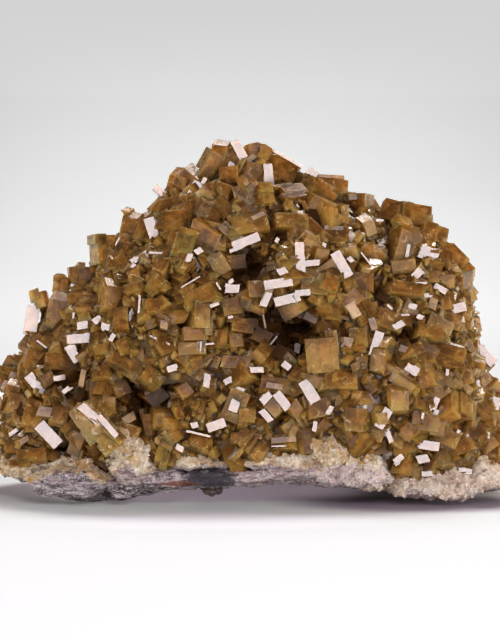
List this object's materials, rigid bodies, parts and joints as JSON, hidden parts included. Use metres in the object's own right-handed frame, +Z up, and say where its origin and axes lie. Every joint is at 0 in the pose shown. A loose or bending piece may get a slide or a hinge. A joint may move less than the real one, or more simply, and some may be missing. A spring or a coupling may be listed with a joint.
{
  "type": "barite crystal cluster",
  "caption": "Mound of golden brown blocky barite crystals, grown together over a pale sugary crust on a thin slab of grey host rock; a mineral specimen for a shelf or a display.",
  "frame": {"origin": "on the surface that the specimen stands on, under the middle of its box", "axes": "+X along the specimen's length, to the right of the side that is shown; +Y towards its back; +Z up"},
  "size_m": [0.2062, 0.1113, 0.1321],
  "materials": {
    "host_rock": "rough layered grey and purplish rock",
    "druse_crust": "sugary pale yellow crystalline crust",
    "barite_crystals": "glassy translucent golden brown crystal faces"
  },
  "bodies": {
    "root": {"host_rock": "host_rock", "druse_crust": "druse_crust", "barite_crystals": "barite_crystals"}
  },
  "joints": []
}
